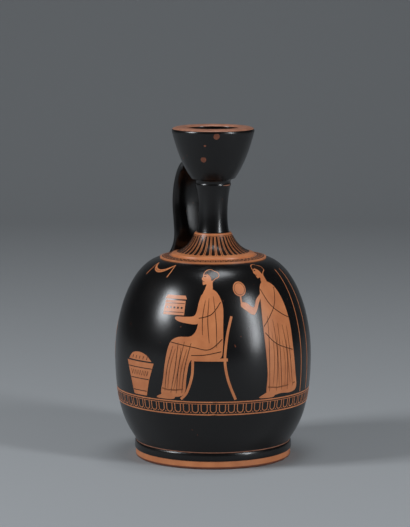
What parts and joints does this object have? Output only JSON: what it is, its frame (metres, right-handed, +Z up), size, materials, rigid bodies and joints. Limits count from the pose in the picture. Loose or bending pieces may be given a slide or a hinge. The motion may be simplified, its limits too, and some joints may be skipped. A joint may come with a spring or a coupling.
{
  "type": "squat lekythos",
  "caption": "Small fired-clay oil flask with a round belly, narrow flared neck, bell mouth, strap handle and low ring foot, black slip with plain-clay ornament.",
  "frame": {"origin": "on the pot's axis, in the plane the foot stands on", "axes": "+Z up along the pot's axis, +Y towards the strap handle, +X to the right seen with the handle behind"},
  "size_m": [0.1194, 0.1194, 0.2009],
  "materials": {
    "black_gloss": "gloss",
    "reserved_clay": "satin"
  },
  "bodies": {
    "root": {"foot": "black_gloss", "body": "black_gloss", "neck": "black_gloss", "mouth": "black_gloss", "handle": "black_gloss"}
  },
  "joints": []
}
